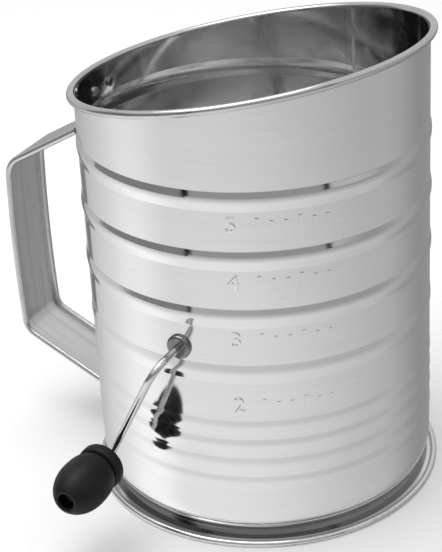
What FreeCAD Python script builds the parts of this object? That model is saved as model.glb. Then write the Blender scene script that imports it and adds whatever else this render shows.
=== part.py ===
"""Hand-cranked flour sifter: one can with a slanted rolled rim, a bowed
screen, a strap handle, and a crank rod that turns a four-wire agitator.

Row frame, millimetres: origin on the can's axis at the plane it stands on,
+Z up, the handle along -X, the crank shaft along Y with its knob at -Y.
Every function returns one solid, and every solid is one exported node.
"""
import FreeCAD, Part
import math
import os

V = FreeCAD.Vector

# ---------------------------------------------------------------- can
CAN_R = 60.5               # outside radius of the plain wall
WALL = 0.6                 # sheet thickness
NECK_R = 56.9              # outside radius where the wall enters the foot
NECK_TOP = 14.0            # height at which the wall starts to draw in
WALL_BOTTOM = 1.8
WALL_TOP = 175.0           # blank height before the slanted trim

RIM_MID_Z = 156.7          # rim height on the axis
RIM_SLOPE = 0.19           # rise per unit run
RIM_HEADING = -12.9        # direction of the high side, degrees from +X
RIM_R = 61.4               # centreline radius of the rolled edge
RIM_ROLL_R = 1.45          # radius of the rolled edge's section

CUP_BEAD_Z = 130.8         # top measuring bead
CUP_PITCH = 20.92          # one cup between beads
CUP_BEAD_HALF = 3.4        # half width of a measuring bead
FINE_PITCH = 7.4           # closer beads below the last measuring bead
FINE_BEADS = 3
FINE_BEAD_HALF = 2.8
CUP_BEAD_RISES = (0.55, 0.55, 0.50, 0.28)
FINE_BEAD_RISE = 0.16
BEAD_CREST = 0.45          # share of the half width that is rounded

SEAM_HEADING = 77.7        # lock seam, inside the wall
SEAM_WIDTH = 4.0
SEAM_RISE = 0.45
SEAM_BOTTOM = 37.5

# ---------------------------------------------------------------- foot ring
FOOT_R = 63.2
FOOT_ROLL_R = 1.15
FOOT_COLLAR_TOP = 7.0
OUTLET_R = 55.7            # bore of the collar, where flour leaves
FOOT_SHEET = 0.6

# ---------------------------------------------------------------- screen
SCREEN_R = 59.2            # outside of the flat lip
SCREEN_BOWL_R = 56.5       # where the bowl meets the lip
SCREEN_LIP_Z = 32.4        # top of the lip
SCREEN_DIP = 11.5          # depth of the bowl
SCREEN_T = 0.8
RING_LEDGE_R = 57.0
RING_SHEET = 0.8
RING_HEIGHT = 4.0

# ---------------------------------------------------------------- crank
SHAFT_Z = 76.4
ROD_R = 1.3
ROD_CLEAR = 0.08           # radial running clearance in every bore
CRANK_ANGLE = 30.2         # arm's swing from straight down, towards -X
ARM_THROW = 54.2           # shaft axis to knob axis
ARM_CORNER_Y = 78.3        # virtual corner of shaft and arm
ARM_END_Y = 66.6           # virtual corner of arm and knob pin
SHAFT_BEND_R = 6.0
PIN_BEND_R = 3.0
PIN_END_Y = 93.4
SHAFT_REAR_Y = 64.2

BUSH_BARREL_R = 2.5
BUSH_FLANGE_R = 4.35
BUSH_FLANGE_T = 1.5
BUSH_LIP_R = 3.4
BUSH_LIP_Y = 58.8          # inner end of the rolled-over lip

CAP_R = 3.6
CAP_LENGTH = 2.6

# ---------------------------------------------------------------- agitator
WIRE_R = 1.0
WIRE_COUNT = 4
WIRE_SHAFT_R = 2.7         # wire centre to shaft centre along the collars
WIRE_BEND_R = 3.0
LOOP_HALF_Y = 50.5
LOOP_REACH = 53.9
COLLAR_R = 4.5
COLLAR_INNER_Y = 53.7
COLLAR_OUTER_Y = 58.3

# ---------------------------------------------------------------- knob
KNOB_FACE_Y = 71.0         # face towards the can
KNOB_LENGTH = 25.2
KNOB_COLLAR_R = 8.3
KNOB_COLLAR_T = 4.6
KNOB_GROOVE_R = 6.6
KNOB_BALL_R = 9.1
KNOB_BALL_AT = 14.0        # widest section, from the face
KNOB_END_R = 4.3
KNOB_RECESS_R = 3.0
KNOB_RECESS_DEPTH = 4.4
RETAINER_R = 2.6
RETAINER_T = 1.7

# ---------------------------------------------------------------- handle
HANDLE_W = 24.4
STRAP_T = 0.8
HEM_R = 1.2                # rolled long edges
PAD_W = 17.0               # feet riveted to the can
HANDLE_FACE = 61.9         # outer face of the feet, from the axis
# Outer face of the strap: (distance from axis, height, bend radius)
HANDLE_PATH = [
    (HANDLE_FACE, 140.5, 0.0),
    (HANDLE_FACE, 127.8, 5.0),
    (97.6, 107.7, 10.5),
    (99.0, 71.0, 600.0),
    (97.4, 36.8, 7.5),
    (HANDLE_FACE, 19.0, 5.5),
    (HANDLE_FACE, 9.0, 0.0),
]
HEM_START = 66.0           # hems die out this far from the axis
RIVET_R = 1.1
RIVET_HEAD_R = 2.0
RIVET_HEAD_H = 0.9
RIVET_TAIL_X = -59.5       # formed tail, just inside the wall
RIVET_TAIL_T = 0.45
RIVET_Y = 5.0
RIVET_Z = {"upper": 138.0, "lower": 13.8}


# ---------------------------------------------------------------- helpers
def line(a, b):
    return Part.makeLine(a, b)


def arc(a, m, b):
    return Part.Arc(a, m, b).toShape()


def cylinder(r, y0, y1, x=0.0, z=SHAFT_Z):
    """Round bar along Y between two heights of Y."""
    return Part.makeCylinder(r, y1 - y0, V(x, y0, z), V(0, 1, 0))


def revolve(edges, base=V(0, 0, 0), axis=V(0, 0, 1), angle=360.0):
    """Turn a closed outline round an axis."""
    face = Part.Face(Part.Wire(edges))
    return face.revolve(base, axis, angle)


def polygon(points):
    pts = list(points) + [points[0]]
    return [line(a, b) for a, b in zip(pts, pts[1:])]


def bent_path(points):
    """Edges through 2-D points given as (vector, bend radius)."""
    edges = []
    last = points[0][0]
    for i in range(1, len(points) - 1):
        corner, r = points[i]
        to_prev = (points[i - 1][0] - corner).normalize()
        to_next = (points[i + 1][0] - corner).normalize()
        half = 0.5 * to_prev.getAngle(to_next)
        trim = r / math.tan(half)
        start = corner + to_prev * trim
        end = corner + to_next * trim
        bisector = (to_prev + to_next).normalize()
        mid = corner + bisector * (r / math.sin(half) - r)
        if (start - last).Length > 1e-6:
            edges.append(line(last, start))
        edges.append(arc(start, mid, end))
        last = end
    edges.append(line(last, points[-1][0]))
    return edges


def sweep(edges, section):
    """Solid swept along a tangent path."""
    return Part.Wire(edges).makePipeShell([Part.Wire(section)], True, False)


def round_section(centre, normal, r):
    return [Part.makeCircle(r, centre, normal)]


# ---------------------------------------------------------------- can
def bead_list():
    """Beads from bottom to top as (height, half width, rise)."""
    beads = [(CUP_BEAD_Z - i * CUP_PITCH, CUP_BEAD_HALF, rise)
             for i, rise in enumerate(CUP_BEAD_RISES)]
    last = CUP_BEAD_Z - len(CUP_BEAD_RISES) * CUP_PITCH
    beads += [(last - i * FINE_PITCH, FINE_BEAD_HALF, FINE_BEAD_RISE)
              for i in range(FINE_BEADS + 1)]
    return sorted(beads)


def wall_chain(inset):
    """Wall outline from bottom to top, drawn in by inset."""
    r = CAN_R - inset
    neck = NECK_R - inset
    knee = V(neck, 0, WALL_BOTTOM + 1.4)
    edges = [line(V(neck, 0, WALL_BOTTOM), knee)]
    curve = Part.BSplineCurve()
    curve.interpolate(Points=[knee, V(r - 1.15, 0, 7.0), V(r, 0, NECK_TOP)],
                      InitialTangent=V(0.35, 0, 1), FinalTangent=V(0, 0, 1))
    edges.append(curve.toShape())
    z = NECK_TOP
    for mid, half, rise in bead_list():
        crest = BEAD_CREST * half
        slope = rise / (half - crest / 2)
        side = r + slope * (half - crest)
        edges.append(line(V(r, 0, z), V(r, 0, mid - half)))
        edges.append(line(V(r, 0, mid - half), V(side, 0, mid - crest)))
        edges.append(arc(V(side, 0, mid - crest), V(r + rise, 0, mid),
                         V(side, 0, mid + crest)))
        edges.append(line(V(side, 0, mid + crest), V(r, 0, mid + half)))
        z = mid + half
    edges.append(line(V(r, 0, z), V(r, 0, WALL_TOP)))
    return edges


def wall_band(outer_inset, inner_inset, angle=360.0):
    outer = wall_chain(outer_inset)
    inner = wall_chain(inner_inset)
    foot = line(outer[0].Vertexes[0].Point, inner[0].Vertexes[0].Point)
    head = line(outer[-1].Vertexes[1].Point, inner[-1].Vertexes[1].Point)
    edges = outer + inner + [foot, head]
    return Part.Face(Part.Wire(Part.__sortEdges__(edges))).revolve(
        V(0, 0, 0), V(0, 0, 1), angle)


def can_plug():
    """Everything inside the wall's outer surface, for trimming feet."""
    outer = wall_chain(0.0)
    edges = outer + [line(outer[-1].Vertexes[1].Point, V(0, 0, WALL_TOP)),
                     line(V(0, 0, WALL_TOP), V(0, 0, WALL_BOTTOM)),
                     line(V(0, 0, WALL_BOTTOM), outer[0].Vertexes[0].Point)]
    return Part.Face(Part.Wire(Part.__sortEdges__(edges))).revolve(
        V(0, 0, 0), V(0, 0, 1), 360.0)


def rim_vectors():
    a = math.radians(RIM_HEADING)
    up_slope = V(math.cos(a), math.sin(a), RIM_SLOPE)
    across = V(-math.sin(a), math.cos(a), 0)
    return up_slope, across


def above_rim():
    """Block of space above the slanted rim plane."""
    up_slope, across = rim_vectors()
    x, y = V(up_slope).normalize(), V(across)
    n = x.cross(y)
    side = 400.0
    corner = V(0, 0, RIM_MID_Z) - x * side / 2 - y * side / 2
    face = Part.Face(Part.Wire(polygon(
        [corner, corner + x * side, corner + x * side + y * side,
         corner + y * side])))
    return face.extrude(n * 120.0)


def rim_roll():
    up_slope, across = rim_vectors()
    centre = V(0, 0, RIM_MID_Z)
    major = centre + up_slope * RIM_R
    minor = centre + across * RIM_R
    path = [Part.Ellipse(major, minor, centre).toShape()]
    start = path[0].valueAt(path[0].FirstParameter)
    tangent = path[0].tangentAt(path[0].FirstParameter)
    return sweep(path, round_section(start, tangent, RIM_ROLL_R))


def body_shell():
    wall = wall_band(0.0, WALL)
    seam = wall_band(WALL - 0.1, WALL + SEAM_RISE,
                     math.degrees(SEAM_WIDTH / CAN_R))
    seam.rotate(V(0, 0, 0), V(0, 0, 1), SEAM_HEADING)
    seam = seam.cut(Part.makeBox(200, 200, SEAM_BOTTOM, V(-100, -100, 0)))
    shell = wall.fuse(seam).cut(above_rim()).fuse(rim_roll())
    holes = [cylinder(BUSH_BARREL_R, -70, 70)]
    holes += [rivet_shank(y, z) for y in (-RIVET_Y, RIVET_Y)
              for z in RIVET_Z.values()]
    for hole in holes:
        shell = shell.cut(hole)
    return shell


def foot_ring():
    """Rolled foot with a collar pressed inside the neck."""
    outer = NECK_R - WALL
    roll_r = FOOT_R - FOOT_ROLL_R
    collar = revolve(polygon([
        V(OUTLET_R, 0, 0), V(outer, 0, 0), V(outer, 0, FOOT_COLLAR_TOP),
        V(OUTLET_R, 0, FOOT_COLLAR_TOP)]))
    flange = revolve(polygon([
        V(OUTLET_R, 0, WALL_BOTTOM - FOOT_SHEET), V(roll_r, 0, 0.35),
        V(roll_r, 0, 0.95), V(NECK_R + 0.2, 0, WALL_BOTTOM),
        V(OUTLET_R, 0, WALL_BOTTOM)]))
    roll = Part.makeTorus(roll_r, FOOT_ROLL_R, V(0, 0, FOOT_ROLL_R - 0.1))
    below = Part.makeBox(200, 200, 5, V(-100, -100, -5))
    return collar.fuse(flange).fuse(roll).cut(below)


# ---------------------------------------------------------------- screen
def screen_mesh():
    """Bowed screen with a flat lip."""
    top, t = SCREEN_LIP_Z, SCREEN_T
    low = top - SCREEN_DIP

    def bowl(z_edge, z_low):
        half = SCREEN_BOWL_R / 2
        radius = (SCREEN_BOWL_R ** 2 + SCREEN_DIP ** 2) / (2 * SCREEN_DIP)
        mid = z_low + radius - math.sqrt(radius ** 2 - half ** 2)
        return arc(V(0, 0, z_low), V(half, 0, mid),
                   V(SCREEN_BOWL_R, 0, z_edge))

    edges = [bowl(top, low),
             line(V(SCREEN_BOWL_R, 0, top), V(SCREEN_R, 0, top)),
             line(V(SCREEN_R, 0, top), V(SCREEN_R, 0, top - t)),
             line(V(SCREEN_R, 0, top - t), V(SCREEN_BOWL_R, 0, top - t)),
             bowl(top - t, low - t),
             line(V(0, 0, low - t), V(0, 0, low))]
    return revolve(edges)


def screen_ring(face_z, side):
    """Angle ring whose ledge bears on the screen's lip; side is +1 or -1."""
    r = CAN_R - WALL
    return revolve(polygon([
        V(RING_LEDGE_R, 0, face_z), V(r, 0, face_z),
        V(r, 0, face_z + side * RING_HEIGHT),
        V(r - RING_SHEET, 0, face_z + side * RING_HEIGHT),
        V(r - RING_SHEET, 0, face_z + side * RING_SHEET),
        V(RING_LEDGE_R, 0, face_z + side * RING_SHEET)]))


# ---------------------------------------------------------------- crank
def arm_frame():
    """Unit vector from the shaft to the knob at rest."""
    a = math.radians(CRANK_ANGLE)
    return V(-math.sin(a), 0, -math.cos(a))


def arm_point(s, y):
    """Point s along the arm, at distance y in front of the can's axis."""
    return V(0, -y, SHAFT_Z) + arm_frame() * s


def crank_rod():
    points = [(arm_point(0, -SHAFT_REAR_Y), 0.0),
              (arm_point(0, ARM_CORNER_Y), SHAFT_BEND_R),
              (arm_point(ARM_THROW, ARM_END_Y), PIN_BEND_R),
              (arm_point(ARM_THROW, PIN_END_Y), 0.0)]
    return sweep(bent_path(points),
                 round_section(points[0][0], V(0, 1, 0), ROD_R))


def bush(side):
    """Flanged eyelet through the wall; side is -1 front, +1 rear."""
    r_out, r_in = CAN_R, CAN_R - WALL
    outer_y = r_out + BUSH_FLANGE_T
    flange = cylinder(BUSH_FLANGE_R, r_out - 1.0, outer_y)
    edges = [e for e in flange.Edges
             if abs(e.BoundBox.YMin - outer_y) < 1e-4
             and abs(e.BoundBox.YMax - outer_y) < 1e-4]
    flange = flange.makeFillet(0.9, edges)
    flange = flange.cut(Part.makeCylinder(r_out, 200))
    barrel = cylinder(BUSH_BARREL_R, BUSH_LIP_Y, outer_y - 0.3)
    lip = cylinder(BUSH_LIP_R, BUSH_LIP_Y, r_out)
    lip = lip.common(Part.makeCylinder(r_in, 200))
    solid = flange.fuse(barrel).fuse(lip)
    solid = solid.cut(cylinder(ROD_R + ROD_CLEAR, 0, 200))
    if side < 0:
        solid.rotate(V(0, 0, SHAFT_Z), V(0, 0, 1), 180)
    return solid


def rear_cap():
    """Push-on cap over the shaft's rear end."""
    start = CAN_R + BUSH_FLANGE_T + 0.4
    cap = cylinder(CAP_R, start, start + CAP_LENGTH)
    edges = [e for e in cap.Edges
             if abs(e.BoundBox.YMin - (start + CAP_LENGTH)) < 1e-4]
    cap = cap.makeFillet(1.2, edges)
    return cap.cut(cylinder(ROD_R, 0, SHAFT_REAR_Y))


# ---------------------------------------------------------------- agitator
def wire_heading(index):
    """Unit vector from the shaft towards one loop."""
    a = math.radians(CRANK_ANGLE + index * 360.0 / WIRE_COUNT)
    return V(-math.sin(a), 0, -math.cos(a))


def agitator_wire(index):
    """One brushing loop from collar to collar."""
    out = wire_heading(index)

    def at(r, y):
        return V(0, y, SHAFT_Z) + out * r

    r0, rb, half = WIRE_SHAFT_R, WIRE_BEND_R, LOOP_HALF_Y
    turn = half + rb
    k = rb * (1 - math.sqrt(0.5))
    loop = Part.Ellipse(at(r0 + rb, half), at(LOOP_REACH, 0), at(r0 + rb, 0))
    edges = [line(at(r0, -COLLAR_OUTER_Y + 0.2), at(r0, -turn)),
             arc(at(r0, -turn), at(r0 + k, -half - k), at(r0 + rb, -half)),
             loop.toShape(0, math.pi),
             arc(at(r0 + rb, half), at(r0 + k, half + k), at(r0, turn)),
             line(at(r0, turn), at(r0, COLLAR_OUTER_Y - 0.2))]
    path = Part.__sortEdges__(edges)
    start = path[0].valueAt(path[0].FirstParameter)
    return sweep(path, round_section(start, V(0, 1, 0), WIRE_R))


def agitator_collar(side):
    """Crimped collar that holds the wires to the shaft."""
    y0, y1 = sorted((side * COLLAR_INNER_Y, side * COLLAR_OUTER_Y))
    collar = cylinder(COLLAR_R, y0, y1)
    collar = collar.makeFillet(0.5, [e for e in collar.Edges
                                     if len(e.Vertexes) == 1])
    collar = collar.cut(cylinder(ROD_R, -200, 200))
    for i in range(WIRE_COUNT):
        out = wire_heading(i) * WIRE_SHAFT_R
        collar = collar.cut(cylinder(WIRE_R, -200, 200, out.x,
                                     SHAFT_Z + out.z))
    return collar


# ---------------------------------------------------------------- knob
def knob():
    """Turned knob with a collar, a groove and an egg-shaped grip."""
    def at(r, a):
        return V(r, 0, 0) + V(0, -(KNOB_FACE_Y + a), 0)

    bore = ROD_R + ROD_CLEAR
    deep = KNOB_LENGTH - KNOB_RECESS_DEPTH
    groove_a = KNOB_COLLAR_T + 0.5
    grip = Part.BSplineCurve()
    grip.interpolate(Points=[at(KNOB_GROOVE_R + 0.5, groove_a + 0.9),
                             at(KNOB_BALL_R - 0.55, KNOB_BALL_AT - 4.6),
                             at(KNOB_BALL_R, KNOB_BALL_AT),
                             at(KNOB_BALL_R - 1.2, KNOB_BALL_AT + 6.3),
                             at(KNOB_END_R, KNOB_LENGTH)],
                     InitialTangent=V(1.2, -1, 0),
                     FinalTangent=V(-1.35, -1, 0))
    edges = [
        line(at(bore, 0), at(KNOB_COLLAR_R - 1.3, 0)),
        arc(at(KNOB_COLLAR_R - 1.3, 0), at(KNOB_COLLAR_R - 0.38, 0.38),
            at(KNOB_COLLAR_R, 1.3)),
        line(at(KNOB_COLLAR_R, 1.3), at(KNOB_COLLAR_R, KNOB_COLLAR_T - 1.4)),
        arc(at(KNOB_COLLAR_R, KNOB_COLLAR_T - 1.4),
            at(KNOB_COLLAR_R - 0.41, KNOB_COLLAR_T - 0.41),
            at(KNOB_GROOVE_R, KNOB_COLLAR_T)),
        line(at(KNOB_GROOVE_R, KNOB_COLLAR_T), at(KNOB_GROOVE_R, groove_a)),
        line(at(KNOB_GROOVE_R, groove_a),
             at(KNOB_GROOVE_R + 0.5, groove_a + 0.9)),
        grip.toShape(),
        arc(at(KNOB_END_R, KNOB_LENGTH),
            at((KNOB_END_R + KNOB_RECESS_R) / 2, KNOB_LENGTH + 0.2),
            at(KNOB_RECESS_R, KNOB_LENGTH - 0.1)),
        line(at(KNOB_RECESS_R, KNOB_LENGTH - 0.1), at(KNOB_RECESS_R, deep)),
        line(at(KNOB_RECESS_R, deep), at(bore, deep)),
        line(at(bore, deep), at(bore, 0)),
    ]
    solid = revolve(edges, V(0, 0, 0), V(0, 1, 0))
    centre = arm_frame() * ARM_THROW
    solid.translate(V(centre.x, 0, SHAFT_Z + centre.z))
    return solid


def knob_retainer():
    """Cap pressed on the pin inside the knob's end recess."""
    pin = arm_frame() * ARM_THROW
    x, z = pin.x, SHAFT_Z + pin.z
    seat = KNOB_FACE_Y + KNOB_LENGTH - KNOB_RECESS_DEPTH + 0.3
    cap = cylinder(RETAINER_R, -(seat + RETAINER_T), -seat, x, z)
    edges = [e for e in cap.Edges
             if abs(e.BoundBox.YMax + seat + RETAINER_T) < 1e-4]
    cap = cap.makeFillet(0.8, edges)
    return cap.cut(cylinder(ROD_R, -PIN_END_Y, 0, x, z))


# ---------------------------------------------------------------- handle
def handle_strap():
    """Strap with rolled long edges and two riveted feet."""
    path = [(V(-r, 0, z), bend) for r, z, bend in HANDLE_PATH]
    half = HANDLE_W / 2 - HEM_R
    top = HANDLE_PATH[0][1]
    section = polygon([V(-HANDLE_FACE, -half, top), V(-HANDLE_FACE, half, top),
                       V(-HANDLE_FACE + STRAP_T, half, top),
                       V(-HANDLE_FACE + STRAP_T, -half, top)])
    strap = sweep(bent_path(path), section)

    hem_path = list(path[1:-1])
    for end, nxt in ((0, 1), (-1, -2)):
        a, b = hem_path[end][0], hem_path[nxt][0]
        hem_path[end] = (a + (b - a) * ((HEM_START - HANDLE_FACE) / (a.x - b.x)),
                         0.0)
    along = (hem_path[1][0] - hem_path[0][0]).normalize()
    inward = V(-along.z, 0, along.x)
    if inward.x < 0:
        inward = inward * -1
    for side in (-1, 1):
        shift = inward * HEM_R + V(0, side * half, 0)
        section = round_section(hem_path[0][0] + shift, along, HEM_R)
        strap = strap.fuse(sweep(bent_path(hem_path), section))

    for z0, z1 in ((HANDLE_PATH[1][1] + 1.6, top),
                   (HANDLE_PATH[-1][1], HANDLE_PATH[-2][1] - 1.6)):
        pad = Part.makeBox(6.0, PAD_W, z1 - z0,
                           V(-HANDLE_FACE, -PAD_W / 2, z0))
        strap = strap.fuse(pad)
        for y in (PAD_W / 2, -PAD_W / 2 - 10):
            strap = strap.cut(Part.makeBox(6.0, 10, z1 - z0,
                                           V(-HANDLE_FACE - 1, y, z0)))
    strap = strap.cut(can_plug())
    for y in (-RIVET_Y, RIVET_Y):
        for z in RIVET_Z.values():
            strap = strap.cut(rivet_shank(y, z))
    return strap.removeSplitter()


def rivet_shank(y, z):
    return Part.makeCylinder(RIVET_R, 6.0, V(-HANDLE_FACE - 1.5, y, z),
                             V(1, 0, 0))


def rivet(y, z):
    """Domed rivet through a foot and the can's wall."""
    x, tail = -HANDLE_FACE, RIVET_TAIL_X
    h, r = RIVET_HEAD_H, RIVET_HEAD_R
    flat = 0.3 * r
    outline = [
        arc(V(x, 0, r), V(x - 0.72 * h, 0, 0.74 * r), V(x - h, 0, flat)),
        line(V(x - h, 0, flat), V(x - h, 0, 0)),
        line(V(x - h, 0, 0), V(tail + RIVET_TAIL_T, 0, 0)),
        line(V(tail + RIVET_TAIL_T, 0, 0), V(tail + RIVET_TAIL_T, 0, r - 0.3)),
        line(V(tail + RIVET_TAIL_T, 0, r - 0.3), V(tail, 0, r - 0.3)),
        line(V(tail, 0, r - 0.3), V(tail, 0, RIVET_R)),
        line(V(tail, 0, RIVET_R), V(x, 0, RIVET_R)),
        line(V(x, 0, RIVET_R), V(x, 0, r))]
    solid = revolve(outline, V(0, 0, 0), V(1, 0, 0))
    solid.translate(V(0, y, z))
    return solid


# ---------------------------------------------------------------- nodes
def nodes():
    parts = {
        "body_shell": body_shell(),
        "foot_ring": foot_ring(),
        "screen_mesh": screen_mesh(),
        "screen_ring_lower": screen_ring(SCREEN_LIP_Z - SCREEN_T, -1),
        "screen_ring_upper": screen_ring(SCREEN_LIP_Z, 1),
        "front_bush": bush(-1),
        "rear_bush": bush(1),
        "handle_strap": handle_strap(),
        "crank_rod": crank_rod(),
        "rear_cap": rear_cap(),
        "agitator_collar_front": agitator_collar(-1),
        "agitator_collar_rear": agitator_collar(1),
        "knob": knob(),
        "knob_retainer": knob_retainer(),
    }
    for level, z in RIVET_Z.items():
        for name, y in (("a", -RIVET_Y), ("b", RIVET_Y)):
            parts["handle_rivet_%s_%s" % (level, name)] = rivet(y, z)
    for i in range(WIRE_COUNT):
        parts["agitator_wire_%d" % (i + 1)] = agitator_wire(i)
    return parts


os.makedirs("parts", exist_ok=True)
for name, shape in nodes().items():
    if len(shape.Solids) == 1:
        shape = shape.Solids[0]
    print(name, len(shape.Solids), shape.isValid(), round(shape.Volume, 1))
    shape.exportStep("parts/%s.step" % name)
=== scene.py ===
"""Looks for a hand-cranked flour sifter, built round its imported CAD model.

Every length is in metres in the CAD model's own frame: origin on the can's
axis at the plane it stands on, +Z up, handle along -X, knob at -Y.
"""
import logging
import math
from dataclasses import dataclass, field
from enum import Enum
from typing import Any, Callable, Iterable, Sequence

import bmesh
import bpy
import numpy as np
from mathutils import Matrix, Vector


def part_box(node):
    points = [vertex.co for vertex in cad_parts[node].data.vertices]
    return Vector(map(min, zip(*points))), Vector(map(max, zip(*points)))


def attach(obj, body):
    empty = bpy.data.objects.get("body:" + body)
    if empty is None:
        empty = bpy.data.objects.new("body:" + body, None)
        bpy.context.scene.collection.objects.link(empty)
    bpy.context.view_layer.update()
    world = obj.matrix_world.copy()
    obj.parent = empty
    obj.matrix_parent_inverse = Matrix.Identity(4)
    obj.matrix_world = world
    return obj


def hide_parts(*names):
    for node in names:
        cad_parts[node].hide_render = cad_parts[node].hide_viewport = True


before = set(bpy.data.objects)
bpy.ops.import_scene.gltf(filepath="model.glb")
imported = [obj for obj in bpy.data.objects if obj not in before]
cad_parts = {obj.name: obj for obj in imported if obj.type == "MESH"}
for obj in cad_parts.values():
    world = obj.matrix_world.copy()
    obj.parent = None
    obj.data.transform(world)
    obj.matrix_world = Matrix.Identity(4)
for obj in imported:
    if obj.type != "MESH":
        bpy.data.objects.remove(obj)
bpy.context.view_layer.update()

LOG = logging.getLogger("sifter")
MM = 0.001

# Sockets of the colour Mix node, whose names are shared by several types.
MIX_FACTOR, MIX_FIRST, MIX_SECOND, MIX_RESULT = 0, 6, 7, 2


# ------------------------------------------------------------------ shading
class Sock:
    """A shader socket that builds Math nodes when it is used in arithmetic."""

    def __init__(self, tree: "Tree", socket: Any) -> None:
        """Wrap one output socket of a tree."""
        self.tree = tree
        self.socket = socket

    def _math(self, operation: str, *values: Any) -> "Sock":
        """Add one Math node.

        Args:
            operation: the Math node's operation.
            values: numbers or wrapped sockets, in input order.

        Returns:
            The node's result, wrapped.
        """
        return self.tree.add("ShaderNodeMath", {"operation": operation},
                             dict(enumerate(values)))

    def __add__(self, other: Any) -> "Sock":
        """self + other."""
        return self._math("ADD", self, other)

    __radd__ = __add__

    def __sub__(self, other: Any) -> "Sock":
        """self - other."""
        return self._math("SUBTRACT", self, other)

    def __rsub__(self, other: Any) -> "Sock":
        """other - self."""
        return self._math("SUBTRACT", other, self)

    def __mul__(self, other: Any) -> "Sock":
        """self * other."""
        return self._math("MULTIPLY", self, other)

    __rmul__ = __mul__

    def __pow__(self, other: Any) -> "Sock":
        """self ** other."""
        return self._math("POWER", self, other)

    def clamp(self) -> "Sock":
        """The value limited to 0..1."""
        return self._math("MINIMUM", self._math("MAXIMUM", self, 0.0), 1.0)

    def smooth(self, low: float, high: float) -> "Sock":
        """A smooth step from 0 at low to 1 at high."""
        return self.tree.add(
            "ShaderNodeMapRange", {"interpolation_type": "SMOOTHSTEP"},
            {"Value": self, "From Min": low, "From Max": high})

    def near(self, centre: float, width: float) -> "Sock":
        """1 where the value is at centre, falling to 0 at width from it."""
        off = self._math("ABSOLUTE", self - centre)
        return 1 - off.smooth(0.0, width)


class Tree:
    """Makes the nodes of one shader tree."""

    def __init__(self, nodes_owner: Any) -> None:
        """Clear and take over the node tree of a material or world."""
        nodes_owner.use_nodes = True
        self.tree = nodes_owner.node_tree
        self.tree.nodes.clear()

    def add(self, kind: str, settings: dict[str, Any] | None = None,
            inputs: dict[Any, Any] | None = None, out: Any = 0) -> Sock:
        """Make any node.

        Args:
            kind: the node's type.
            settings: properties set first.
            inputs: values or links for its input sockets, by name or index.
            out: the output to return, by name or index.

        Returns:
            The chosen output, wrapped.
        """
        node = self.tree.nodes.new(kind)
        for key, value in (settings or {}).items():
            setattr(node, key, value)
        for key, value in (inputs or {}).items():
            socket = node.inputs[key]
            if isinstance(value, Sock):
                self.tree.links.new(value.socket, socket)
            else:
                socket.default_value = value
        return Sock(self, node.outputs[out])

    def coords(self, scale: Sequence[float] = (1, 1, 1)) -> Sock:
        """Object coordinates through a Mapping node."""
        place = self.add("ShaderNodeTexCoord", out="Object")
        return self.add("ShaderNodeMapping", {},
                        {"Vector": place, "Scale": tuple(scale)})

    def noise(self, where: Sock, scale: float, detail: float = 3.0,
              distortion: float = 0.0) -> Sock:
        """A noise texture's factor."""
        return self.add("ShaderNodeTexNoise", {},
                        {"Vector": where, "Scale": scale, "Detail": detail,
                         "Distortion": distortion}, out="Fac")

    def split(self, vector: Sock) -> tuple[Sock, Sock, Sock]:
        """The three parts of a vector."""
        node = self.add("ShaderNodeSeparateXYZ", {},
                        {"Vector": vector}).socket.node
        return tuple(Sock(self, out) for out in node.outputs)

    def mix(self, factor: Any, first: Any, second: Any) -> Sock:
        """A colour between two colours or colour sockets."""
        first, second = (c if isinstance(c, Sock) else rgba(c)
                         for c in (first, second))
        return self.add("ShaderNodeMix", {"data_type": "RGBA"},
                        {MIX_FACTOR: factor, MIX_FIRST: first,
                         MIX_SECOND: second}, out=MIX_RESULT)

    def finish(self, surface: Sock,
               kind: str = "ShaderNodeOutputMaterial") -> None:
        """Link the last shader to the tree's output.

        Args:
            surface: the shader.
            kind: the type of output node.
        """
        node = self.tree.nodes.new(kind)
        self.tree.links.new(surface.socket, node.inputs["Surface"])


def rgba(colour: Sequence[float]) -> tuple[float, ...]:
    """A colour with full alpha."""
    return (*colour, 1.0) if len(colour) == 3 else tuple(colour)


class Grain(Enum):
    """Which way a metal's fine drawing or rolling lines run."""

    AROUND = (1.0, 1.0, 60.0)
    ALONG_STRAP = (1.0, 60.0, 1.0)
    NONE = (1.0, 1.0, 1.0)


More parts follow.
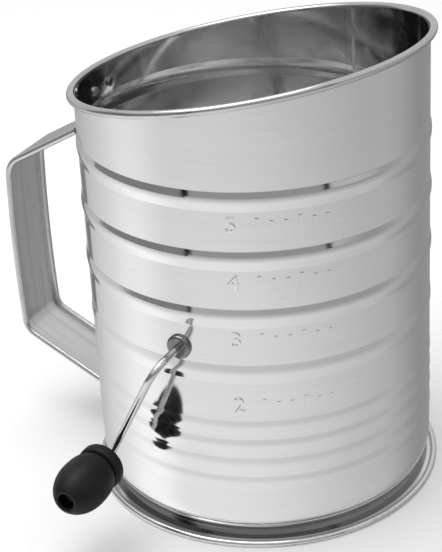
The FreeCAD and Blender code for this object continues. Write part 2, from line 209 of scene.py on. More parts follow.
@dataclass(frozen=True)
class SteelFinish:
    """Bright, plated or bare steel."""

    name: str
    colour: tuple[float, float, float]
    roughness: float = 0.16
    grain: Grain = Grain.NONE
    grain_depth: float = 0.02
    dent_depth: float = 0.0
    dent_size: float = 18.0
    smudge: float = 0.08
    tarnish: float = 0.25
    streak: float = 0.12
    # Start radius, stop radius and darkness of a ring of painted shade in a
    # groove.
    groove: tuple[float, float, float] | None = None

    def make(self) -> bpy.types.Material:
        """Build the material.

        Returns:
            A metal whose colour, roughness and bump vary at several scales, and
            whose colour is darkened by a ring of painted shade where a groove is
            given.
        """
        material = bpy.data.materials.new(self.name)
        tree = Tree(material)
        fine = tree.coords(self.grain.value)
        plain = tree.coords()
        lines = tree.noise(fine, 90.0, 4.0)
        cloud = tree.noise(plain, 16.0, 4.0, 0.6)
        coarse = tree.noise(fine, 13.0, 3.0)
        specks = tree.noise(plain, 420.0, 2.0)
        dents = tree.noise(plain, self.dent_size, 1.0)
        dark = tuple(c * (1 - self.tarnish) for c in self.colour)
        wear = ((cloud - 0.42) * 2.2).clamp() * 0.6 + specks * 0.25
        colour = tree.mix(wear.clamp(), self.colour, dark)
        streaks = coarse.smooth(0.42, 0.68) * 0.6 + lines.smooth(
            0.45, 0.75) * 0.5
        colour = tree.mix(streaks.clamp(), colour, tree.mix(
            self.streak, colour, (0.05, 0.05, 0.05)))
        # Painted shade: a dark ring between two radii stands in for the shade
        # deep in the groove.
        if self.groove:
            start, stop, shade = self.groove
            x, y, _ = tree.split(tree.add("ShaderNodeTexCoord",
                                          out="Object"))
            r = (x * x + y * y) ** 0.5
            painted_groove_shade = r.smooth(start - 0.3 * MM, start) * (
                1 - r.smooth(stop - 0.35 * MM, stop))
            colour = tree.mix(painted_groove_shade * (0.75 + cloud * 0.4), colour,
                              tuple(c * shade for c in self.colour))
        rough = (self.roughness + (lines - 0.5) * 0.10
                 + cloud.smooth(0.5, 0.72) * self.smudge
                 + (specks - 0.5) * 0.05).clamp()
        height = (lines * self.grain_depth + specks * 0.006
                  + dents * self.dent_depth)
        bump = tree.add("ShaderNodeBump", {},
                        {"Height": height, "Strength": 1.0,
                         "Distance": 0.001}, out="Normal")
        surface = tree.add("ShaderNodeBsdfPrincipled", {},
                           {"Base Color": colour, "Metallic": 1.0,
                            "Roughness": rough, "Normal": bump})
        tree.finish(surface)
        return material


@dataclass(frozen=True)
class PlasticFinish:
    """Turned and polished dark plastic."""

    name: str
    colour: tuple[float, float, float]
    roughness: float = 0.5
    coat: float = 0.02

    def make(self) -> bpy.types.Material:
        """Build the material.

        Returns:
            A satin plastic with turning rings, rubs and pinprick texture.
        """
        material = bpy.data.materials.new(self.name)
        tree = Tree(material)
        plain = tree.coords()
        rings = tree.noise(tree.coords((4.0, 900.0, 4.0)), 1.0, 3.0)
        cloud = tree.noise(plain, 60.0, 4.0, 0.4)
        specks = tree.noise(plain, 2400.0, 2.0)
        lighter = tuple(c * 1.8 + 0.002 for c in self.colour)
        colour = tree.mix(cloud.smooth(0.45, 0.8), self.colour, lighter)
        rough = (self.roughness + (rings - 0.5) * 0.12
                 + cloud.smooth(0.4, 0.8) * 0.10).clamp()
        bump = tree.add("ShaderNodeBump", {},
                        {"Height": rings * 0.03 + specks * 0.02,
                         "Strength": 1.0, "Distance": 0.0006}, out="Normal")
        surface = tree.add("ShaderNodeBsdfPrincipled", {},
                           {"Base Color": colour, "Roughness": rough,
                            "Coat Weight": self.coat, "Coat Roughness": 0.2,
                            "IOR": 1.36, "Normal": bump})
        tree.finish(surface)
        return material


# ------------------------------------------------------------------ meshes
def new_object(name: str, vertices: Sequence[Sequence[float]],
               faces: Sequence[Sequence[int]]) -> bpy.types.Object:
    """Make a mesh object at the origin.

    Args:
        name: the piece's name.
        vertices: points in metres.
        faces: vertex indices of each face.

    Returns:
        The linked object.
    """
    mesh = bpy.data.meshes.new(name)
    mesh.from_pydata([tuple(v) for v in vertices], [], [tuple(f) for f in faces])
    mesh.validate()
    obj = bpy.data.objects.new(name, mesh)
    bpy.context.scene.collection.objects.link(obj)
    return obj


def tidy_mesh(obj: bpy.types.Object, sharp_degrees: float = 35.0,
              merge: float = 2e-6) -> bpy.types.Object:
    """Merge doubles, point faces outwards and smooth all but sharp edges.

    Args:
        obj: a mesh object.
        sharp_degrees: edges that turn more than this stay sharp.
        merge: distance under which vertices are one.

    Returns:
        The same object.
    """
    bm = bmesh.new()
    bm.from_mesh(obj.data)
    bmesh.ops.remove_doubles(bm, verts=bm.verts, dist=merge)
    bmesh.ops.dissolve_degenerate(bm, edges=bm.edges, dist=merge / 4)
    bmesh.ops.recalc_face_normals(bm, faces=bm.faces)
    limit = math.radians(sharp_degrees)
    for face in bm.faces:
        face.smooth = True
    for edge in bm.edges:
        edge.smooth = (len(edge.link_faces) == 2
                       and edge.calc_face_angle(0.0) < limit)
    bm.to_mesh(obj.data)
    bm.free()
    return obj


def lathe(name: str, outline: Sequence[tuple[float, float]], steps: int,
          place: Callable[[float, float, float], Vector],
          sharp_degrees: float = 35.0) -> bpy.types.Object:
    """Turn a closed outline into a ring or a solid.

    Args:
        name: the piece's name.
        outline: (radius, height) points round the section, closed.
        steps: segments round the axis.
        place: maps (radius, angle, height) to a point.
        sharp_degrees: edges that turn more than this stay sharp.

    Returns:
        The object.
    """
    count = len(outline)
    vertices = [place(r, 2 * math.pi * i / steps, h)
                for i in range(steps) for r, h in outline]
    faces = [(i * count + j, i * count + (j + 1) % count,
              (i + 1) % steps * count + (j + 1) % count,
              (i + 1) % steps * count + j)
             for i in range(steps) for j in range(count)]
    return tidy_mesh(new_object(name, vertices, faces), sharp_degrees)


def arc_points(centre: tuple[float, float], radius: float, start: float,
               stop: float, steps: int) -> list[tuple[float, float]]:
    """Points on an arc in the (radius, height) plane, angles in degrees."""
    return [(centre[0] + radius * math.cos(math.radians(a)),
             centre[1] + radius * math.sin(math.radians(a)))
            for a in np.linspace(start, stop, steps)]


def dress(obj: bpy.types.Object, material: bpy.types.Material, body: str,
          slot: str, *nodes: str) -> bpy.types.Object:
    """Give a new piece its material and body, and hide the CAD nodes it
    replaces.
    """
    obj.data.materials.clear()
    obj.data.materials.append(material)
    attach(obj, body)
    if nodes:
        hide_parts(*nodes)
    LOG.info("%s: %d faces, rides on %s", obj.name, len(obj.data.polygons),
             body)
    return obj


def smooth_copy(node: str, sharp_degrees: float = 30.0) -> bpy.types.Object:
    """A merged, smooth-shaded copy of a CAD node's mesh."""
    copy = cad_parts[node].copy()
    copy.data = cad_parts[node].data.copy()
    copy.name = copy.data.name = node + "_finished"
    for key in list(copy.keys()):
        del copy[key]
    copy.parent = None
    copy.matrix_world = Matrix.Identity(4)
    bpy.context.scene.collection.objects.link(copy)
    normals = copy.data.attributes.get("custom_normal")
    if normals:
        copy.data.attributes.remove(normals)
    return tidy_mesh(copy, sharp_degrees)


# ------------------------------------------------------------ node geometry
class GeoTree:
    """Builds one Geometry Nodes tree and bakes it to a plain mesh."""

    def __init__(self, name: str, sizes: dict[str, float]) -> None:
        """Start a tree with named inputs for its sizes.

        Args:
            name: the tree's name.
            sizes: input name to value; whole numbers make integer inputs.
        """
        self.tree = bpy.data.node_groups.new(name, "GeometryNodeTree")
        face = self.tree.interface
        face.new_socket("Geometry", in_out="INPUT",
                        socket_type="NodeSocketGeometry")
        self.sizes = {}
        for key, value in sizes.items():
            kind = ("NodeSocketInt" if isinstance(value, int)
                    else "NodeSocketFloat")
            item = face.new_socket(key, in_out="INPUT", socket_type=kind)
            self.sizes[item.identifier] = value
        face.new_socket("Geometry", in_out="OUTPUT",
                        socket_type="NodeSocketGeometry")
        self.inputs = self.tree.nodes.new("NodeGroupInput")

    def size(self, name: str) -> Any:
        """The output socket of a named size."""
        return self.inputs.outputs[name]

    def add(self, kind: str, settings: dict[str, Any] | None = None,
            inputs: dict[Any, Any] | None = None, out: Any = 0) -> Any:
        """Make any geometry node.

        Args:
            kind: the node's type.
            settings: properties set first.
            inputs: values, sockets or lists of sockets, by name or index.
            out: the output to return.

        Returns:
            The chosen output socket.
        """
        node = self.tree.nodes.new(kind)
        for key, value in (settings or {}).items():
            setattr(node, key, value)
        for key, value in (inputs or {}).items():
            values = value if isinstance(value, list) else [value]
            for one in values:
                if isinstance(one, bpy.types.NodeSocket):
                    self.tree.links.new(one, node.inputs[key])
                else:
                    node.inputs[key].default_value = one
        return node.outputs[out]

    def math(self, operation: str, *values: Any) -> Any:
        """One Math node on values or sockets."""
        return self.add("ShaderNodeMath", {"operation": operation},
                        dict(enumerate(values)))

    def bake(self, name: str, geometry: Any,
             material: bpy.types.Material) -> bpy.types.Object:
        """Finish the tree, run it and keep the result as a plain mesh.

        Args:
            name: the piece's name.
            geometry: the tree's last geometry socket.
            material: set on every face.

        Returns:
            An object with a plain mesh and no modifier.
        """
        real = self.add("GeometryNodeRealizeInstances", {},
                        {"Geometry": geometry})
        done = self.add("GeometryNodeSetMaterial", {},
                        {"Geometry": real, "Material": material})
        output = self.tree.nodes.new("NodeGroupOutput")
        self.tree.links.new(done, output.inputs[0])
        holder = new_object(name + "_source", [(0, 0, 0)], [])
        modifier = holder.modifiers.new("build", "NODES")
        modifier.node_group = self.tree
        for identifier, value in self.sizes.items():
            modifier[identifier] = value
        graph = bpy.context.evaluated_depsgraph_get()
        mesh = bpy.data.meshes.new_from_object(holder.evaluated_get(graph),
                                               depsgraph=graph)
        holder.modifiers.remove(modifier)
        bpy.data.objects.remove(holder)
        mesh.name = name
        obj = bpy.data.objects.new(name, mesh)
        bpy.context.scene.collection.objects.link(obj)
        return obj


# ------------------------------------------------------------------ can
@dataclass
class Can:
    """The rolled can: wall, rim, seam, foot and screen rings."""

    radius: float = 60.5 * MM
    sheet: float = 0.6 * MM
    neck_radius: float = 56.9 * MM
    neck_top: float = 14.0 * MM
    bottom: float = 1.8 * MM
    rim_mid: float = 156.7 * MM
    rim_slope: float = 0.19
    rim_heading: float = math.radians(-12.9)
    rim_radius: float = 61.4 * MM
    rim_roll: float = 1.45 * MM
    cup_bead: float = 130.8 * MM
    cup_pitch: float = 20.92 * MM
    cup_half: float = 3.4 * MM
    cup_rises: tuple[float, ...] = (0.55 * MM, 0.55 * MM, 0.50 * MM,
                                    0.28 * MM)
    fine_pitch: float = 7.4 * MM
    fine_half: float = 2.8 * MM
    fine_rise: float = 0.16 * MM
    crest: float = 0.45
    knee: float = 3.2 * MM
    neck_power: float = 2.63
    base_rows: int = 12
    seam_heading: float = math.radians(77.7)
    seam_width: float = 4.0 * MM
    seam_rise: float = 0.45 * MM
    seam_bottom: float = 37.5 * MM
    steps: int = 288
    shaft_z: float = 76.4 * MM
    bore: float = 2.5 * MM
    finish: SteelFinish = SteelFinish(
        "can_tinplate", (0.80, 0.80, 0.795), roughness=0.085,
        grain=Grain.AROUND, grain_depth=0.004, dent_depth=0.22,
        dent_size=26.0, smudge=0.06, tarnish=0.08, streak=0.035)
    rim_finish: SteelFinish = SteelFinish(
        "rim_tinplate", (0.62, 0.62, 0.615), roughness=0.14,
        grain=Grain.AROUND, grain_depth=0.01, smudge=0.08, tarnish=0.12)
    foot_finish: SteelFinish = SteelFinish(
        "foot_tinplate", (0.74, 0.745, 0.75), roughness=0.15,
        grain=Grain.AROUND, grain_depth=0.02, smudge=0.1, tarnish=0.2,
        # Painted shade in the groove between the wall's neck and the foot's
        # roll.
        groove=(57.0 * MM, 59.8 * MM, 0.28))
    ring_finish: SteelFinish = SteelFinish(
        "ring_sheet_steel", (0.62, 0.625, 0.63), roughness=0.24,
        grain=Grain.AROUND, grain_depth=0.04, smudge=0.12, tarnish=0.25)
    beads: list[tuple[float, float, float]] = field(default_factory=list)

    def __post_init__(self) -> None:
        """List the beads from bottom to top as (height, half width, rise)."""
        last = self.cup_bead - 4 * self.cup_pitch
        self.beads = sorted(
            [(self.cup_bead - i * self.cup_pitch, self.cup_half, rise)
             for i, rise in enumerate(self.cup_rises)]
            + [(last - i * self.fine_pitch, self.fine_half, self.fine_rise)
               for i in range(4)])

    def bulge(self, z: float) -> float:
        """How far the wall stands out of its plain radius at a height."""
        for mid, half, rise in self.beads:
            off, crest = abs(z - mid), self.crest * half
            slope = rise / (half - crest / 2)
            if off < crest:
                cap = rise - slope * (half - crest)
                r = (crest ** 2 + cap ** 2) / (2 * cap)
                return rise - r + math.sqrt(r * r - off * off)
            if off < half:
                return slope * (half - off)
        if z < self.neck_top:
            drop = self.radius - self.neck_radius
            run = max(0.0, z - self.knee) / (self.neck_top - self.knee)
            return -drop * (1 - run) ** self.neck_power
        return 0.0

    def heights(self) -> list[float]:
        """Heights at which the wall's grid has a row, up to the top bead."""
        rows = set(np.linspace(self.bottom, self.neck_top,
                               self.base_rows))
        for mid, half, _ in self.beads:
            crest = self.crest * half
            for off in (0.0, crest / 2, crest * 0.9, crest * 1.1,
                        half - 0.2 * MM, half - 0.03 * MM, half + 0.03 * MM,
                        half + 0.25 * MM):
                rows.update((mid - off, mid + off))
        return sorted(round(float(z), 7) for z in rows)

    def rim_height(self, r: float, angle: float) -> float:
        """Height of the slanted rim plane at a place."""
        return self.rim_mid + self.rim_slope * r * math.cos(
            angle - self.rim_heading)

    def wall(self) -> bpy.types.Object:
        """The beaded sheet wall, outside, inside and bottom edge."""
        rows = self.heights()
        upper = [0.012, 0.03, 0.2, 0.4, 0.6, 0.8, 1.0]
        vertices: list[tuple[float, float, float]] = []
        for i in range(self.steps):
            a = 2 * math.pi * i / self.steps
            top = self.rim_height(self.radius, a)
            zs = rows + [rows[-1] + (top - rows[-1]) * u for u in upper]
            out = [(self.radius + self.bulge(z), z) for z in zs]
            inside = [(r - self.sheet, z) for r, z in reversed(out)]
            vertices += [(r * math.cos(a), r * math.sin(a), z)
                         for r, z in out + inside]
        count = 2 * (len(rows) + len(upper))
        faces = [(i * count + j, i * count + (j + 1) % count,
                  (i + 1) % self.steps * count + (j + 1) % count,
                  (i + 1) % self.steps * count + j)
                 for i in range(self.steps) for j in range(count)]
        wall = tidy_mesh(new_object("can_wall", vertices, faces), 50.0)
        self.drill(wall)
        return wall

    def drill(self, wall: bpy.types.Object) -> None:
        """Open the two bores that the crank shaft's eyelets sit in."""
        bm = bmesh.new()
        bmesh.ops.create_cone(
            bm, cap_ends=True, segments=32, radius1=self.bore,
            radius2=self.bore, depth=3 * self.radius,
            matrix=Matrix.Translation((0, 0, self.shaft_z))
            @ Matrix.Rotation(math.pi / 2, 4, "X"))
        mesh = bpy.data.meshes.new("drill")
        bm.to_mesh(mesh)
        bm.free()
        cutter = bpy.data.objects.new("drill", mesh)
        bpy.context.scene.collection.objects.link(cutter)
        cut = wall.modifiers.new("bores", "BOOLEAN")
        cut.operation, cut.solver, cut.object = "DIFFERENCE", "EXACT", cutter
        graph = bpy.context.evaluated_depsgraph_get()
        mesh = bpy.data.meshes.new_from_object(wall.evaluated_get(graph),
                                               depsgraph=graph)
        wall.modifiers.remove(cut)
        wall.data = mesh
        bpy.data.objects.remove(cutter)

    def rim(self) -> bpy.types.Object:
        """The rolled edge along the slanted top."""
        vertices, around = [], 20
        for i in range(self.steps):
            a = 2 * math.pi * i / self.steps
            for j in range(around):
                t = 2 * math.pi * j / around
                r = self.rim_radius + self.rim_roll * math.cos(t)
                z = (self.rim_height(self.rim_radius, a)
                     + self.rim_roll * math.sin(t)
                     + self.rim_slope * self.rim_roll * math.cos(t)
                     * math.cos(a - self.rim_heading))
                vertices.append((r * math.cos(a), r * math.sin(a), z))
        faces = [(i * around + j, (i + 1) % self.steps * around + j,
                  (i + 1) % self.steps * around + (j + 1) % around,
                  i * around + (j + 1) % around)
                 for i in range(self.steps) for j in range(around)]
        return tidy_mesh(new_object("can_rim", vertices, faces), 60.0)

    def seam(self) -> bpy.types.Object:
        """The folded lock seam inside the wall."""
        across, vertices = 9, []
        width = self.seam_width / self.radius
        rows = [z for z in self.heights() if z > self.seam_bottom]
        rows = [self.seam_bottom] + rows
        for j in range(across + 1):
            s = j / across
            a = self.seam_heading + width * s
            lift = self.seam_rise * min(1.0, 4.5 * s, 9 * (1 - s))
            top = self.rim_height(self.radius, a) - 0.6 * MM
            zs = rows + [rows[-1] + (top - rows[-1]) * u
                         for u in (0.03, 0.35, 0.7, 1.0)]
            for z in zs:
                base = self.radius + self.bulge(z) - self.sheet
                vertices += [((base + 0.1 * MM) * math.cos(a),
                              (base + 0.1 * MM) * math.sin(a), z),
                             ((base - lift) * math.cos(a),
                              (base - lift) * math.sin(a), z)]
        tall = 2 * len(zs)
        faces = []
        for j in range(across):
            a, b = j * tall, (j + 1) * tall
            for k in range(0, tall - 2, 2):
                faces.append((a + k, a + k + 2, b + k + 2, b + k))
                faces.append((a + k + 1, b + k + 1, b + k + 3, a + k + 3))
            faces.append((a, b, b + 1, a + 1))
            faces.append((a + tall - 2, a + tall - 1, b + tall - 1,
                          b + tall - 2))
        for side in (0, across * tall):
            for k in range(0, tall - 2, 2):
                faces.append((side + k, side + k + 1, side + k + 3,
                              side + k + 2))
        return tidy_mesh(new_object("can_seam", vertices, faces), 25.0)

    def build(self) -> None:
        """Make and dress every piece of the can."""
        tin = self.finish.make()
        wall = dress(self.wall(), tin, "can", "can_steel", "body_shell")
        dress(self.rim(), self.rim_finish.make(), "can", "can_steel")
        dress(self.seam(), tin, "can", "can_steel")
        foot = smooth_copy("foot_ring", 28.0)
        dress(foot, self.foot_finish.make(), "can", "foot_steel", "foot_ring")
        rings = self.ring_finish.make()
        for node in ("screen_ring_lower", "screen_ring_upper"):
            dress(smooth_copy(node), rings, "can", "ring_steel", node)
        LOG.info("wall has %d vertices", len(wall.data.vertices))


@dataclass
class Graduations:
    """Raised numerals and ticks between the measuring beads."""

    can: Can
    numerals: tuple[tuple[str, float], ...] = (
        ("5", 122.6 * MM), ("4", 102.0 * MM), ("3", 80.9 * MM),
        ("2", 56.0 * MM))
    height: float = 5.4 * MM
    rise: float = 0.42 * MM
    heading: float = math.radians(-90 + 19.0)
    tick_start: float = math.radians(-90 + 27.0)
    tick_step: float = math.radians(4.4)
    ticks: int = 6

    def wrap(self, mesh: bpy.types.Mesh, heading: float, z: float) -> None:
        """Bend flat artwork round the wall.

        Args:
            mesh: x across, y up, z out of the sheet.
            heading: direction of the artwork's x origin.
            z: height of its y origin.
        """
        for v in mesh.vertices:
            up = z + v.co.y
            r = self.can.radius + self.can.bulge(up) + v.co.z
            a = heading + v.co.x / self.can.radius
            v.co = (r * math.cos(a), r * math.sin(a), up)

    def numeral(self, text: str) -> bpy.types.Mesh:
        """One numeral as flat artwork with rounded edges."""
        curve = bpy.data.curves.new("numeral", "FONT")
        curve.body, curve.size = text, self.height / 0.7
        curve.align_x, curve.align_y = "CENTER", "CENTER"
        curve.extrude, curve.bevel_depth = 0.12 * MM, 0.16 * MM
        curve.bevel_resolution, curve.offset = 2, -0.05 * MM
        holder = bpy.data.objects.new("numeral", curve)
        bpy.context.scene.collection.objects.link(holder)
        graph = bpy.context.evaluated_depsgraph_get()
        mesh = bpy.data.meshes.new_from_object(holder.evaluated_get(graph),
                                               depsgraph=graph)
        bpy.data.objects.remove(holder)
        for v in mesh.vertices:
            v.co.z += self.rise - 0.28 * MM
        return mesh

    def tick_row(self, material: bpy.types.Material) -> bpy.types.Object:
        """Ticks instanced along a line, still flat, for one row."""
        geo = GeoTree("tick_row", {
            "Count": self.ticks, "Step": self.tick_step * self.can.radius,
            "Width": 1.3 * MM, "Height": 2.8 * MM, "Rise": 2 * self.rise})
        step = geo.add("ShaderNodeCombineXYZ", {}, {"X": geo.size("Step")})
        row = geo.add("GeometryNodeMeshLine", {},
                      {"Count": geo.size("Count"), "Offset": step})
        index = geo.add("GeometryNodeInputIndex")
        tall = geo.math("ADD", 1.0, geo.math(
            "MULTIPLY", 0.8, geo.math("LESS_THAN", geo.math(
                "MODULO", index, 3.0), 0.5)))
        size = geo.add("ShaderNodeCombineXYZ", {},
                       {"X": geo.size("Width"), "Y": geo.size("Height"),
                        "Z": geo.size("Rise")})
        block = geo.add("GeometryNodeMeshCube", {},
                        {"Size": size, "Vertices X": 2, "Vertices Y": 4})
        scale = geo.add("ShaderNodeCombineXYZ", {},
                        {"X": 1.0, "Y": tall, "Z": 1.0})
        ticks = geo.add("GeometryNodeInstanceOnPoints", {},
                        {"Points": row, "Instance": block, "Scale": scale})
        return geo.bake("tick_row", ticks, material)

    def build(self) -> None:
        """Make the raised marks and dress them as part of the wall."""
        tin = self.can.finish.make()
        row = self.tick_row(tin)
        parts = []
        for text, z in self.numerals:
            glyph = self.numeral(text)
            self.wrap(glyph, self.heading, z)
            ticks = row.data.copy()
            self.wrap(ticks, self.tick_start, z)
            parts += [glyph, ticks]
        bm = bmesh.new()
        for part in parts:
            bm.from_mesh(part)
        mesh = bpy.data.meshes.new("graduations")
        bm.to_mesh(mesh)
        bm.free()
        bpy.data.objects.remove(row)
        obj = bpy.data.objects.new("graduations", mesh)
        bpy.context.scene.collection.objects.link(obj)
        tidy_mesh(obj, 40.0)
        dress(obj, tin, "can", "can_steel")


# ------------------------------------------------------------------ screen
@dataclass
class Screen:
    """Bowed screen woven from two crossing sets of wire."""

    pitch: float = 1.7 * MM
    wire: float = 0.2 * MM
    weave: float = 0.2 * MM
    reach: float = 58.8 * MM
    bowl: float = 56.5 * MM
    lip: float = 32.0 * MM
    dip: float = 11.5 * MM
    finish: SteelFinish = SteelFinish(
        "woven_wire", (0.62, 0.625, 0.63), roughness=0.27, smudge=0.1,
        tarnish=0.3)

    def family(self, geo: GeoTree, sign: float, turn: float) -> Any:
        """One set of parallel wires that follow the bowl and the weave.

        Args:
            geo: the tree.
            sign: +1 or -1, which wires go over first.
            turn: rotation about Z, in radians.

        Returns:
            The set's geometry socket.
        """
        reach, pitch = self.reach, self.pitch
        count = 2 * int(reach / pitch) + 1
        start = -(count - 1) / 2 * pitch
        rows = geo.add("GeometryNodeMeshLine", {},
                       {"Count": count, "Start Location": (start, 0, 0),
                        "Offset": (pitch, 0, 0)})
        points = geo.add("GeometryNodeCurvePrimitiveLine", {},
                         {"Start": (0, start, 0), "End": (0, -start, 0)})
        wire = geo.add("GeometryNodeResampleCurve", {},
                       {"Curve": points, "Count": 2 * count - 1})
        wires = geo.add("GeometryNodeInstanceOnPoints", {},
                        {"Points": rows, "Instance": wire})
        wires = geo.add("GeometryNodeRealizeInstances", {},
                        {"Geometry": wires})
        place = geo.add("GeometryNodeInputPosition")
        split = geo.add("ShaderNodeSeparateXYZ", {}, {"Vector": place}).node
        x, y = split.outputs["X"], split.outputs["Y"]
        r2 = geo.math("ADD", geo.math("MULTIPLY", x, x),
                      geo.math("MULTIPLY", y, y))
        outside = geo.math("GREATER_THAN", r2, reach * reach)
        wires = geo.add("GeometryNodeDeleteGeometry", {"domain": "POINT"},
                        {"Geometry": wires, "Selection": outside})
        ball = (self.bowl ** 2 + self.dip ** 2) / (2 * self.dip)
        sphere = geo.math("SUBTRACT", self.lip - self.dip + ball,
                          geo.math("SQRT", geo.math(
                              "SUBTRACT", ball * ball, r2)))
        level = geo.math("MINIMUM", sphere, self.lip)
        wave = geo.math("MULTIPLY", geo.math(
            "COSINE", geo.math("MULTIPLY", x, math.pi / pitch)),
            geo.math("COSINE", geo.math("MULTIPLY", y, math.pi / pitch)))
        z = geo.math("ADD", level, geo.math(
            "MULTIPLY", wave, geo.math("MULTIPLY", sign,
                                       geo.size("Weave height"))))
        moved = geo.add("ShaderNodeCombineXYZ", {}, {"X": x, "Y": y, "Z": z})
        wires = geo.add("GeometryNodeSetPosition", {},
                        {"Geometry": wires, "Position": moved})
        section = geo.add("GeometryNodeCurvePrimitiveCircle", {},
                          {"Resolution": 4, "Radius": geo.size("Wire radius")})
        tubes = geo.add("GeometryNodeCurveToMesh", {},
                        {"Curve": wires, "Profile Curve": section,
                         "Fill Caps": True})
        return geo.add("GeometryNodeTransform", {},
                       {"Geometry": tubes, "Rotation": (0, 0, turn)})

    def build(self) -> None:
        """Weave the screen and put it in place of its CAD solid."""
        geo = GeoTree("woven_screen", {"Wire radius": self.wire,
                                       "Weave height": self.weave})
        cloth = geo.add("GeometryNodeJoinGeometry", {}, {"Geometry": [
            self.family(geo, 1.0, 0.0),
            self.family(geo, -1.0, math.pi / 2)]})
        obj = geo.bake("screen_weave", cloth, self.finish.make())
        for polygon in obj.data.polygons:
            polygon.use_smooth = True
        dress(obj, obj.data.materials[0], "can", "screen_wire",
              "screen_mesh")


# ------------------------------------------------------------------ handle
@dataclass
class Handle:
    """Strap handle and the rivets through its feet."""

    finish: SteelFinish = SteelFinish(
        "strap_sheet_steel", (0.70, 0.705, 0.71), roughness=0.24,
        grain=Grain.ALONG_STRAP, grain_depth=0.03, dent_depth=0.06,
        smudge=0.12, tarnish=0.15, streak=0.22)
    rivet_finish: SteelFinish = SteelFinish(
        "rivet_plating", (0.62, 0.625, 0.63), roughness=0.2, tarnish=0.3)

    def build(self) -> None:
        """Dress the strap and its rivets."""
        strap = smooth_copy("handle_strap", 30.0)
        dress(strap, self.finish.make(), "can", "strap_steel",
              "handle_strap")
        plating = self.rivet_finish.make()
        for level in ("upper", "lower"):
            for letter in ("a", "b"):
                node = f"handle_rivet_{level}_{letter}"
                dress(smooth_copy(node, 40.0), plating, "can",
                      "rivet_steel", node)


# ------------------------------------------------------------------ crank
@dataclass
class Crank:
    """Shaft, arm, agitator, bushes and caps."""

    rod_finish: SteelFinish = SteelFinish(
        "drawn_rod", (0.70, 0.705, 0.71), roughness=0.13,
        grain=Grain.NONE, grain_depth=0.02, smudge=0.06, tarnish=0.18)
    wire_finish: SteelFinish = SteelFinish(
        "drawn_wire", (0.66, 0.665, 0.67), roughness=0.19,
        grain_depth=0.02, smudge=0.1, tarnish=0.25)
    collar_finish: SteelFinish = SteelFinish(
        "crimped_sleeve", (0.54, 0.545, 0.55), roughness=0.28,
        grain=Grain.AROUND, grain_depth=0.04, tarnish=0.3)
    eyelet_finish: SteelFinish = SteelFinish(
        "dark_eyelet", (0.26, 0.26, 0.265), roughness=0.14,
        grain_depth=0.01, tarnish=0.25)
    # Painted shade: the cap deep in the knob's recess is coloured near black to
    # stand in for the shade in that hole.
    retainer_finish: SteelFinish = SteelFinish(
        "cap_dark_for_recess_shade", (0.02, 0.02, 0.021), roughness=0.4,
        tarnish=0.4)

    def build(self) -> None:
        """Dress every piece of the crank and its bearings."""
        rod, wire = self.rod_finish.make(), self.wire_finish.make()
        collar, dark = self.collar_finish.make(), self.eyelet_finish.make()
        # black is the cap's near-black finish, painted shade for the knob's
        # recess.
        black = self.retainer_finish.make()
        rows = [("crank_rod", rod, "crank", "crank_steel"),
                ("rear_cap", collar, "crank", "collar_steel"),
                ("agitator_collar_front", collar, "crank", "collar_steel"),
                ("agitator_collar_rear", collar, "crank", "collar_steel"),
                ("knob_retainer", black, "crank", "retainer_steel"),
                ("front_bush", dark, "can", "bush_steel"),
                ("rear_bush", dark, "can", "bush_steel")]
        rows += [(f"agitator_wire_{i}", wire, "crank", "agitator_steel")
                 for i in range(1, 5)]
        for node, material, body, slot in rows:
            dress(smooth_copy(node, 40.0), material, body, slot, node)


@dataclass
class Knob:
    """Turned knob that spins on the crank's pin."""

    face_y: float = 71.0 * MM
    length: float = 25.2 * MM
    collar_radius: float = 8.3 * MM
    collar: float = 4.6 * MM
    groove_radius: float = 6.6 * MM
    ball_radius: float = 9.1 * MM
    ball_at: float = 14.0 * MM
    recess_radius: float = 3.0 * MM
    recess: float = 4.4 * MM
    bore: float = 1.38 * MM
    collar_round: float = 1.3 * MM
    shoulder: float = 0.35 * MM
    nose: float = 12.71 * MM
    steps: int = 96
    finish: PlasticFinish = PlasticFinish("black_plastic",
                                          (0.0035, 0.0035, 0.004))

    def outline(self) -> list[tuple[float, float]]:
        """The knob's section as (radius, distance from its face)."""
        c, t, g = self.collar_radius, self.collar, self.groove_radius
        edge, neck = self.collar_round, g + self.shoulder
        points = [(self.bore, 0.0), (c - edge, 0.0)]
        points += arc_points((c - edge, edge), edge, -90, 0, 7)
        points += arc_points((c - 1.4 * MM, t - 1.4 * MM), 1.4 * MM, 0, 75, 7)
        points += [(g + 0.25 * MM, t - 0.02 * MM), (g, t + 0.12 * MM),
                   (g, t + 0.5 * MM)]
        start, end = t + 0.75 * MM, self.length
        for u in np.linspace(0, 1, 30):
            a = start + (end - start) * math.sin(u * math.pi / 2) ** 1.15
            if a < self.ball_at:
                s = (self.ball_at - a) / (self.ball_at - start)
                r = neck + (self.ball_radius - neck) * math.sqrt(
                    max(0.0, 1 - s ** 2.3))
            else:
                s = (a - self.ball_at) / self.nose
                r = self.ball_radius * math.sqrt(max(0.0, 1 - s * s))
            points.append((r, a))
        hole, deep = self.recess_radius, self.length - self.recess
        points += [(hole + 0.75 * MM, self.length + 0.10 * MM),
                   (hole + 0.35 * MM, self.length + 0.08 * MM),
                   (hole, self.length - 0.15 * MM), (hole, deep + 0.3 * MM),
                   (hole - 0.3 * MM, deep), (self.bore, deep)]
        return points

    def build(self) -> None:
        """Turn the knob in place of its CAD solid."""
        low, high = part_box("knob")
        cx, cz = (low.x + high.x) / 2, (low.z + high.z) / 2

        def place(r: float, angle: float, a: float) -> Vector:
            """A point of the outline, turned about the pin's axis."""
            return Vector((cx + r * math.cos(angle), -(self.face_y + a),
                           cz + r * math.sin(angle)))

        knob = lathe("knob_turned", self.outline(), self.steps, place, 40.0)
        dress(knob, self.finish.make(), "grip", "knob_black", "knob")


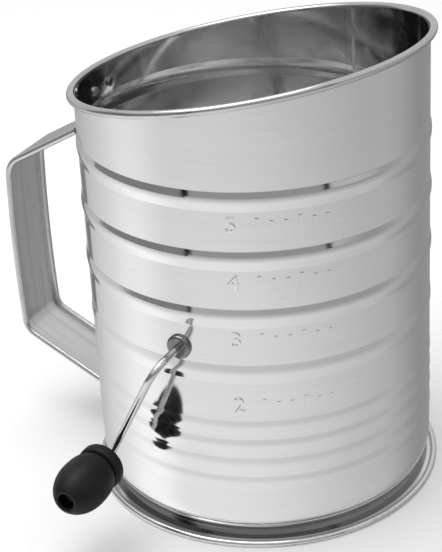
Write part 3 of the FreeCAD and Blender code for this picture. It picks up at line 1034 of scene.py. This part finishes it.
# ------------------------------------------------------------------ studio
@dataclass
class Studio:
    """Pale floor, soft light and the camera."""

    camera_at: tuple[float, float, float] = (0.2565, -0.4991, 0.3641)
    yaw: float = math.radians(-28.625)
    pitch: float = math.radians(-27.326)
    roll: float = math.radians(-3.242)
    tall_field: float = math.radians(17.806)
    floor_size: float = 6.0
    front: float = math.radians(27.2)
    tent: float = 1.05
    floor_level: float = 0.36
    floor_slope: float = 1.15
    left_level: float = 1.20
    side_fall: float = 0.48
    far_fall: float = 0.28
    glow_rise: float = 0.25
    band_level: float = 0.80
    core_fall: float = 0.38
    left_fall: float = 0.50
    right_fall: float = 0.12
    post_fall: float = 0.75
    post_squared: float = 0.59
    post_width: float = 0.09
    high_level: float = 0.95
    lamp_at: tuple[float, float, float] = (-0.2, -0.1, 0.9)
    lamp_size: float = 0.7
    lamp_power: float = 4.0
    lamp_aim: tuple[float, float, float] = (0.0, 0.0, 0.08)

    def camera(self) -> None:
        """Stand the camera above the can, in front and to its right."""
        data = bpy.data.cameras.new("camera")
        data.sensor_fit = "AUTO"
        data.sensor_width = 36.0
        data.lens = 18.0 / math.tan(self.tall_field / 2)
        data.clip_start, data.clip_end = 0.01, 50.0
        camera = bpy.data.objects.new("camera", data)
        bpy.context.scene.collection.objects.link(camera)
        ahead = Vector((math.sin(self.yaw) * math.cos(self.pitch),
                        math.cos(self.yaw) * math.cos(self.pitch),
                        math.sin(self.pitch)))
        right = Vector((math.cos(self.yaw), -math.sin(self.yaw), 0.0))
        up = right.cross(ahead)
        c, s = math.cos(self.roll), math.sin(self.roll)
        right, up = right * c + up * s, up * c - right * s
        turn = Matrix((right, up, -ahead)).transposed().to_4x4()
        camera.matrix_world = Matrix.Translation(self.camera_at) @ turn
        bpy.context.scene.camera = camera

    def floor(self) -> None:
        """A plain pale floor."""
        h = self.floor_size / 2
        floor = new_object("floor", [(-h, -h, 0), (h, -h, 0), (h, h, 0),
                                     (-h, h, 0)], [(0, 1, 2, 3)])
        material = bpy.data.materials.new("floor_paper")
        tree = Tree(material)
        grain = tree.noise(tree.coords(), 400.0, 2.0)
        colour = tree.mix(grain, (0.90, 0.90, 0.90), (0.93, 0.93, 0.93))
        surface = tree.add("ShaderNodeBsdfPrincipled", {},
                           {"Base Color": colour, "Roughness": 0.9})
        tree.finish(surface)
        floor.data.materials.append(material)
        floor.visible_glossy = False

    def sky(self) -> None:
        """A white tent, with a patterned one seen in reflections.

        The pattern is a bright floor below the horizon and above it a
        dimmer band with two dark posts, on the side of the camera.
        """
        world = bpy.data.worlds.new("tent")
        bpy.context.scene.world = world
        tree = Tree(world)
        ray = tree.add("ShaderNodeTexCoord", out="Generated")
        x, y, z = tree.split(ray)
        fx, fy = math.sin(self.front), -math.cos(self.front)
        turn = tree.add("ShaderNodeMath", {"operation": "ARCTAN2"},
                        {0: x * -fy + y * fx, 1: x * fx + y * fy})
        behind = 1 - turn.smooth(-2.9, -1.9)
        glow = turn.smooth(-2.1, -1.6) * turn.smooth(-1.0, -1.5)
        sides = (self.left_level - turn.smooth(-0.7, 1.9) * self.side_fall
                 - behind * self.side_fall
                 - turn.smooth(1.5, 2.4) * self.far_fall
                 + glow * self.glow_rise)
        far = turn.smooth(1.2, 2.1)
        below = (self.floor_level + far * 0.52
                 - z * (self.floor_slope - far * 1.1)).clamp() * sides
        core = (turn * turn).smooth(0.62, 0.56)
        post = (turn * turn).near(self.post_squared, self.post_width)
        left = turn.smooth(-0.76, -0.78) * turn.smooth(-2.15, -2.05)
        right = turn.smooth(0.76, 0.78) * turn.smooth(2.15, 1.6)
        band = (self.band_level - core * self.core_fall
                - left * self.left_fall - right * self.right_fall
                - post * self.post_fall).clamp()
        high = z.smooth(0.40, 0.56)
        above = band + (self.high_level - band) * high
        edge = z + left * 0.13
        line = edge.smooth(-0.112, -0.106)
        gloss = below + (above - below) * line
        path = tree.add("ShaderNodeLightPath", out="Is Glossy Ray")
        level = self.tent + (gloss - self.tent) * path
        light = tree.add("ShaderNodeBackground", {}, {"Strength": level})
        tree.finish(light, "ShaderNodeOutputWorld")

    def light(self, name: str, at: Sequence[float], size: float,
              power: float) -> None:
        """One soft square lamp that points at the can."""
        data = bpy.data.lights.new(name, "AREA")
        data.shape, data.size, data.energy = "SQUARE", size, power
        lamp = bpy.data.objects.new(name, data)
        lamp.location = at
        aim = Vector(self.lamp_aim) - Vector(at)
        lamp.rotation_euler = aim.to_track_quat("-Z", "Y").to_euler()
        bpy.context.scene.collection.objects.link(lamp)

    def build(self) -> None:
        """Set up everything that isn't the object."""
        bpy.context.scene.view_settings.view_transform = "Standard"
        self.camera()
        self.floor()
        self.sky()
        self.light("overhead", self.lamp_at, self.lamp_size,
                   self.lamp_power)


def main() -> None:
    """Build the sifter and its studio in order."""
    logging.basicConfig(level=logging.INFO, format="%(name)s %(message)s")
    can = Can()
    makers: Iterable[Any] = (can, Graduations(can), Screen(), Handle(),
                             Crank(), Knob(), Studio())
    for maker in makers:
        maker.build()
        LOG.info("built %s", type(maker).__name__)


if __name__ == "__main__":
    main()
